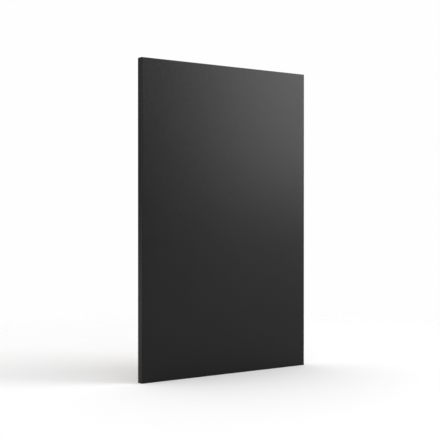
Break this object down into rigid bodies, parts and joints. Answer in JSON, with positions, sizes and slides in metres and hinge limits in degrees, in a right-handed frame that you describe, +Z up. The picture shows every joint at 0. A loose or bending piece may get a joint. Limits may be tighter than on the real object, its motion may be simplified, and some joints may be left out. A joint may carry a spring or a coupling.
{
  "type": "kick plate",
  "caption": "Flat rectangular kick plate: a black sheet-metal tray with returned edges over a board core, with foam mounting tape and peel-off liners on its back.",
  "frame": {"origin": "middle of the bottom edge, on the surface that the plate stands on, half-way through its overall thickness", "axes": "+X across the plate to the right as seen from its front, +Y through it from the face to the door side, +Z up along its long side"},
  "size_m": [0.3, 0.0122, 0.46],
  "materials": {
    "black_powder_coat": "satin, smooth black powder coat",
    "bond_film": "clear amber adhesive film",
    "moisture_board": "matt, moisture-resistant fibreboard",
    "acrylic_foam": "matt, closed-cell foam",
    "liner_film": "glossy release film"
  },
  "bodies": {
    "root": {"face_tray": "black_powder_coat", "core_bond_film": "bond_film", "core_board": "moisture_board", "tape_left": "acrylic_foam", "tape_right": "acrylic_foam", "tape_bottom": "acrylic_foam", "tape_lower_mid": "acrylic_foam", "tape_upper_mid": "acrylic_foam", "tape_top": "acrylic_foam", "liner_left": "liner_film", "liner_right": "liner_film", "liner_bottom": "liner_film", "liner_lower_mid": "liner_film", "liner_upper_mid": "liner_film", "liner_top": "liner_film"}
  },
  "joints": []
}
